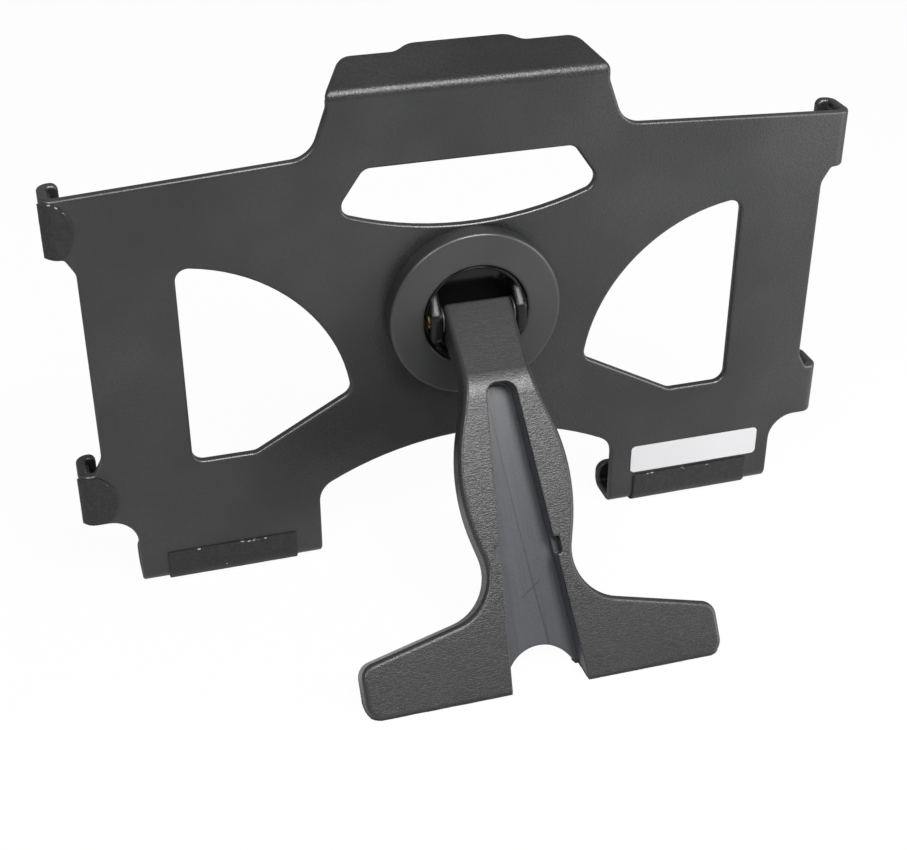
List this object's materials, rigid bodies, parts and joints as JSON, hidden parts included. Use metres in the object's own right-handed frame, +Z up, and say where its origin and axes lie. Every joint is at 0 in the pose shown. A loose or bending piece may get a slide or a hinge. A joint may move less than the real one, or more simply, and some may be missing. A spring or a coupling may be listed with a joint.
{
  "type": "tablet holder",
  "caption": "Formed plastic tablet holder with felt-lined hooks, a round swivel plate and a fold-out winged stand leg that doubles as a slide-on wall shoe.",
  "frame": {"origin": "middle of the plan on the table, leg opened and the sheet upright", "axes": "+X to the right seen from the leg side, +Y towards the tablet, +Z up"},
  "size_m": [0.2636, 0.1036, 0.175],
  "materials": {
    "sheet_plastic": "fine matte grain, edges rubbed slightly brighter",
    "ring_plastic": "smooth satin",
    "hub_plastic": "polished",
    "leg_plastic": "leather-like moulded grain, smooth channel",
    "screw_steel": "plain",
    "brass": "turned",
    "nylon": "waxy",
    "pad_rubber": "dull",
    "felt": "short pile",
    "label_paper": "blank film"
  },
  "bodies": {
    "holder": {"holder_plate": "sheet_plastic", "swivel_ring": "ring_plastic", "ring_screws": "screw_steel", "friction_washer": "nylon", "felt_bottom_left": "felt", "felt_bottom_right": "felt", "felt_upper_left": "felt", "felt_lower_left": "felt", "liner_upper_left": "felt", "liner_upper_right": "felt", "liner_lower_left": "felt", "liner_lower_right": "felt", "liner_bottom_left": "felt", "liner_bottom_right": "felt", "liner_top": "felt", "blank_label": "label_paper"},
    "swivel": {"swivel_hub": "hub_plastic", "pivot_bolt": "screw_steel", "pivot_nut": "brass", "pivot_washers": "nylon"},
    "leg": {"stand_leg": "leg_plastic", "foot_pad_left": "pad_rubber", "foot_pad_right": "pad_rubber"}
  },
  "joints": [
    {"name": "swivel_turn", "type": "hinge", "parent": "holder", "child": "swivel", "pos_m": [0.00029, 0.03601, 0.0899], "axis": [0, 1, 0], "continuous": true},
    {"name": "leg_fold", "type": "hinge", "parent": "swivel", "child": "leg", "pos_m": [0.00029, 0.03001, 0.0899], "axis": [-1, 0, 0], "range_deg": [-32, 35]}
  ]
}
